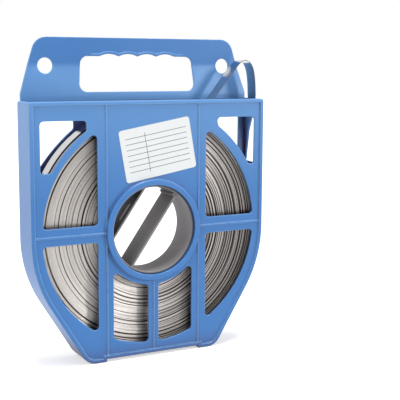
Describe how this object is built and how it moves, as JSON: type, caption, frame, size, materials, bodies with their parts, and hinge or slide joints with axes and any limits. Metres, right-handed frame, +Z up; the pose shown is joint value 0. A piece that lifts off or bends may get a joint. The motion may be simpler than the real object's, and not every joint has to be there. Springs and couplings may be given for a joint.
{
  "type": "coil of stainless steel banding in a carrying case",
  "caption": "Coil of flat stainless steel band on a plastic core, in a carrying case with windows, a hand grip, hang holes and the band's free end looped over the top.",
  "frame": {"origin": "on the floor under the middle of the case, at the bottom of its feet", "axes": "+Z up to the handle, -Y out of the front panel with the label, +X to the right as seen from the front"},
  "size_m": [0.257, 0.045, 0.3245],
  "materials": {
    "case_front_plastic": "semi-gloss moulded",
    "case_back_plastic": "semi-gloss moulded",
    "hub_plastic": "matt moulded",
    "band_steel": "bright rolled",
    "label_paper": "smooth"
  },
  "bodies": {
    "root": {"case_front": "case_front_plastic", "case_back": "case_back_plastic", "hub": "hub_plastic", "steel_band": "band_steel", "label": "label_paper"}
  },
  "joints": []
}
